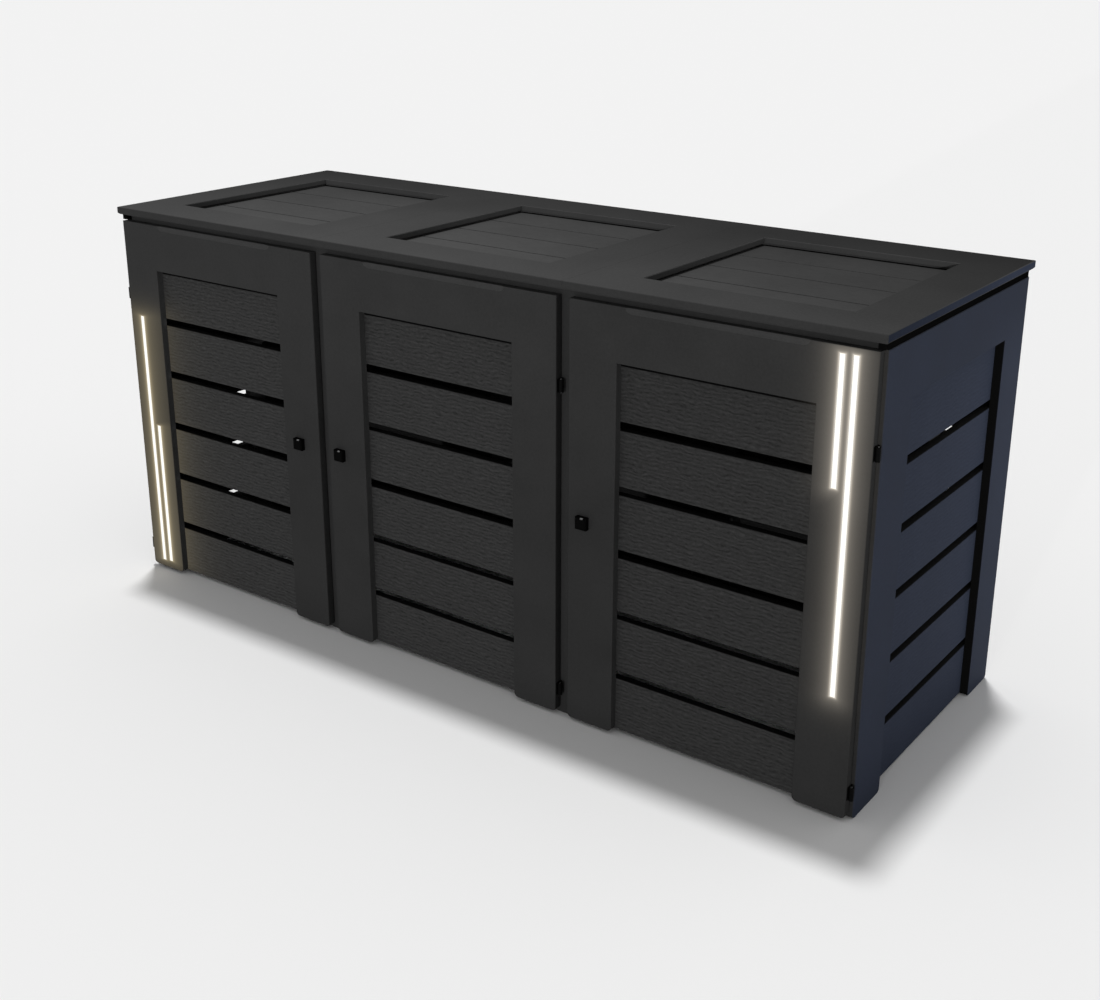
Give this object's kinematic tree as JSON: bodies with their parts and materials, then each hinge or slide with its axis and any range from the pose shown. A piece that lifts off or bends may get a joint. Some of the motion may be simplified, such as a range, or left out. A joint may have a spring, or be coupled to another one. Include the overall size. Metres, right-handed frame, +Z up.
{
  "type": "wheelie bin store",
  "caption": "Long slatted garden store with doors in front, hinged lids on top and light strips, which hides wheelie bins standing side by side.",
  "frame": {"origin": "middle of the whole store's footprint, on the ground", "axes": "+X along the store to the right as seen from the front, -Y is the side of the doors, +Z up"},
  "size_m": [2.396, 0.874, 1.134],
  "materials": {
    "frame_board": "fine satin",
    "slat_board": "wood grain",
    "post_board": "satin",
    "lid_board": "satin",
    "hinge_metal": "black satin",
    "pin_steel": "brushed",
    "knob_metal": "black gloss",
    "catch_case": "matt",
    "strike_steel": "zinc plated",
    "led_channel": "anodised",
    "led_lens": "lit opal",
    "gland_plastic": "matt"
  },
  "bodies": {
    "carcass": {"side_frame_left": "frame_board", "side_slats_left": "slat_board", "side_frame_right": "frame_board", "side_slats_right": "slat_board", "side_battens": "post_board", "lid_rests": "post_board", "corner_post_front_left": "post_board", "corner_post_front_right": "post_board", "corner_posts_back": "post_board", "divider_post_left": "post_board", "divider_post_right": "post_board", "back_posts": "post_board", "front_top_rail": "post_board", "back_top_rail": "post_board", "top_cross_rails": "post_board", "back_frame_left": "frame_board", "back_frame_middle": "frame_board", "back_frame_right": "frame_board", "back_slats": "slat_board", "catch_magnets": "catch_case", "door_hinge_post_leaves": "hinge_metal", "door_hinge_pins": "pin_steel", "lid_hinge_rail_leaves": "hinge_metal", "lid_hinge_pins": "pin_steel"},
    "door_left": {"door_frame_left": "frame_board", "door_slats_left": "slat_board", "door_knob_left": "knob_metal", "door_hinge_leaves_left": "hinge_metal", "door_strike_left": "strike_steel", "led_profiles_left": "led_channel", "led_diffusers_left": "led_lens", "led_gland_left": "gland_plastic"},
    "door_middle": {"door_frame_middle": "frame_board", "door_slats_middle": "slat_board", "door_knob_middle": "knob_metal", "door_hinge_leaves_middle": "hinge_metal", "door_strike_middle": "strike_steel"},
    "door_right": {"door_frame_right": "frame_board", "door_slats_right": "slat_board", "door_knob_right": "knob_metal", "door_hinge_leaves_right": "hinge_metal", "door_strike_right": "strike_steel", "led_profiles_right": "led_channel", "led_diffusers_right": "led_lens", "led_gland_right": "gland_plastic"},
    "lid_left": {"lid_frame_left": "frame_board", "lid_boards_left": "lid_board", "lid_hinge_leaves_left": "hinge_metal"},
    "lid_middle": {"lid_frame_middle": "frame_board", "lid_boards_middle": "lid_board", "lid_hinge_leaves_middle": "hinge_metal"},
    "lid_right": {"lid_frame_right": "frame_board", "lid_boards_right": "lid_board", "lid_hinge_leaves_right": "hinge_metal"}
  },
  "joints": [
    {"name": "door_left_hinge", "type": "hinge", "parent": "carcass", "child": "door_left", "pos_m": [-1.1894, -0.4115, 0.4755], "axis": [0, 0, -1], "range_deg": [0, 100]},
    {"name": "door_middle_hinge", "type": "hinge", "parent": "carcass", "child": "door_middle", "pos_m": [0.3894, -0.4115, 0.4755], "axis": [0, 0, 1], "range_deg": [0, 100]},
    {"name": "door_right_hinge", "type": "hinge", "parent": "carcass", "child": "door_right", "pos_m": [1.1894, -0.4115, 0.4755], "axis": [0, 0, 1], "range_deg": [0, 100]},
    {"name": "lid_left_hinge", "type": "hinge", "parent": "carcass", "child": "lid_left", "pos_m": [-0.79883, 0.4304, 1.1056], "axis": [-1, 0, 0], "range_deg": [0, 95]},
    {"name": "lid_middle_hinge", "type": "hinge", "parent": "carcass", "child": "lid_middle", "pos_m": [0, 0.4304, 1.1056], "axis": [-1, 0, 0], "range_deg": [0, 95]},
    {"name": "lid_right_hinge", "type": "hinge", "parent": "carcass", "child": "lid_right", "pos_m": [0.79883, 0.4304, 1.1056], "axis": [-1, 0, 0], "range_deg": [0, 95]}
  ]
}
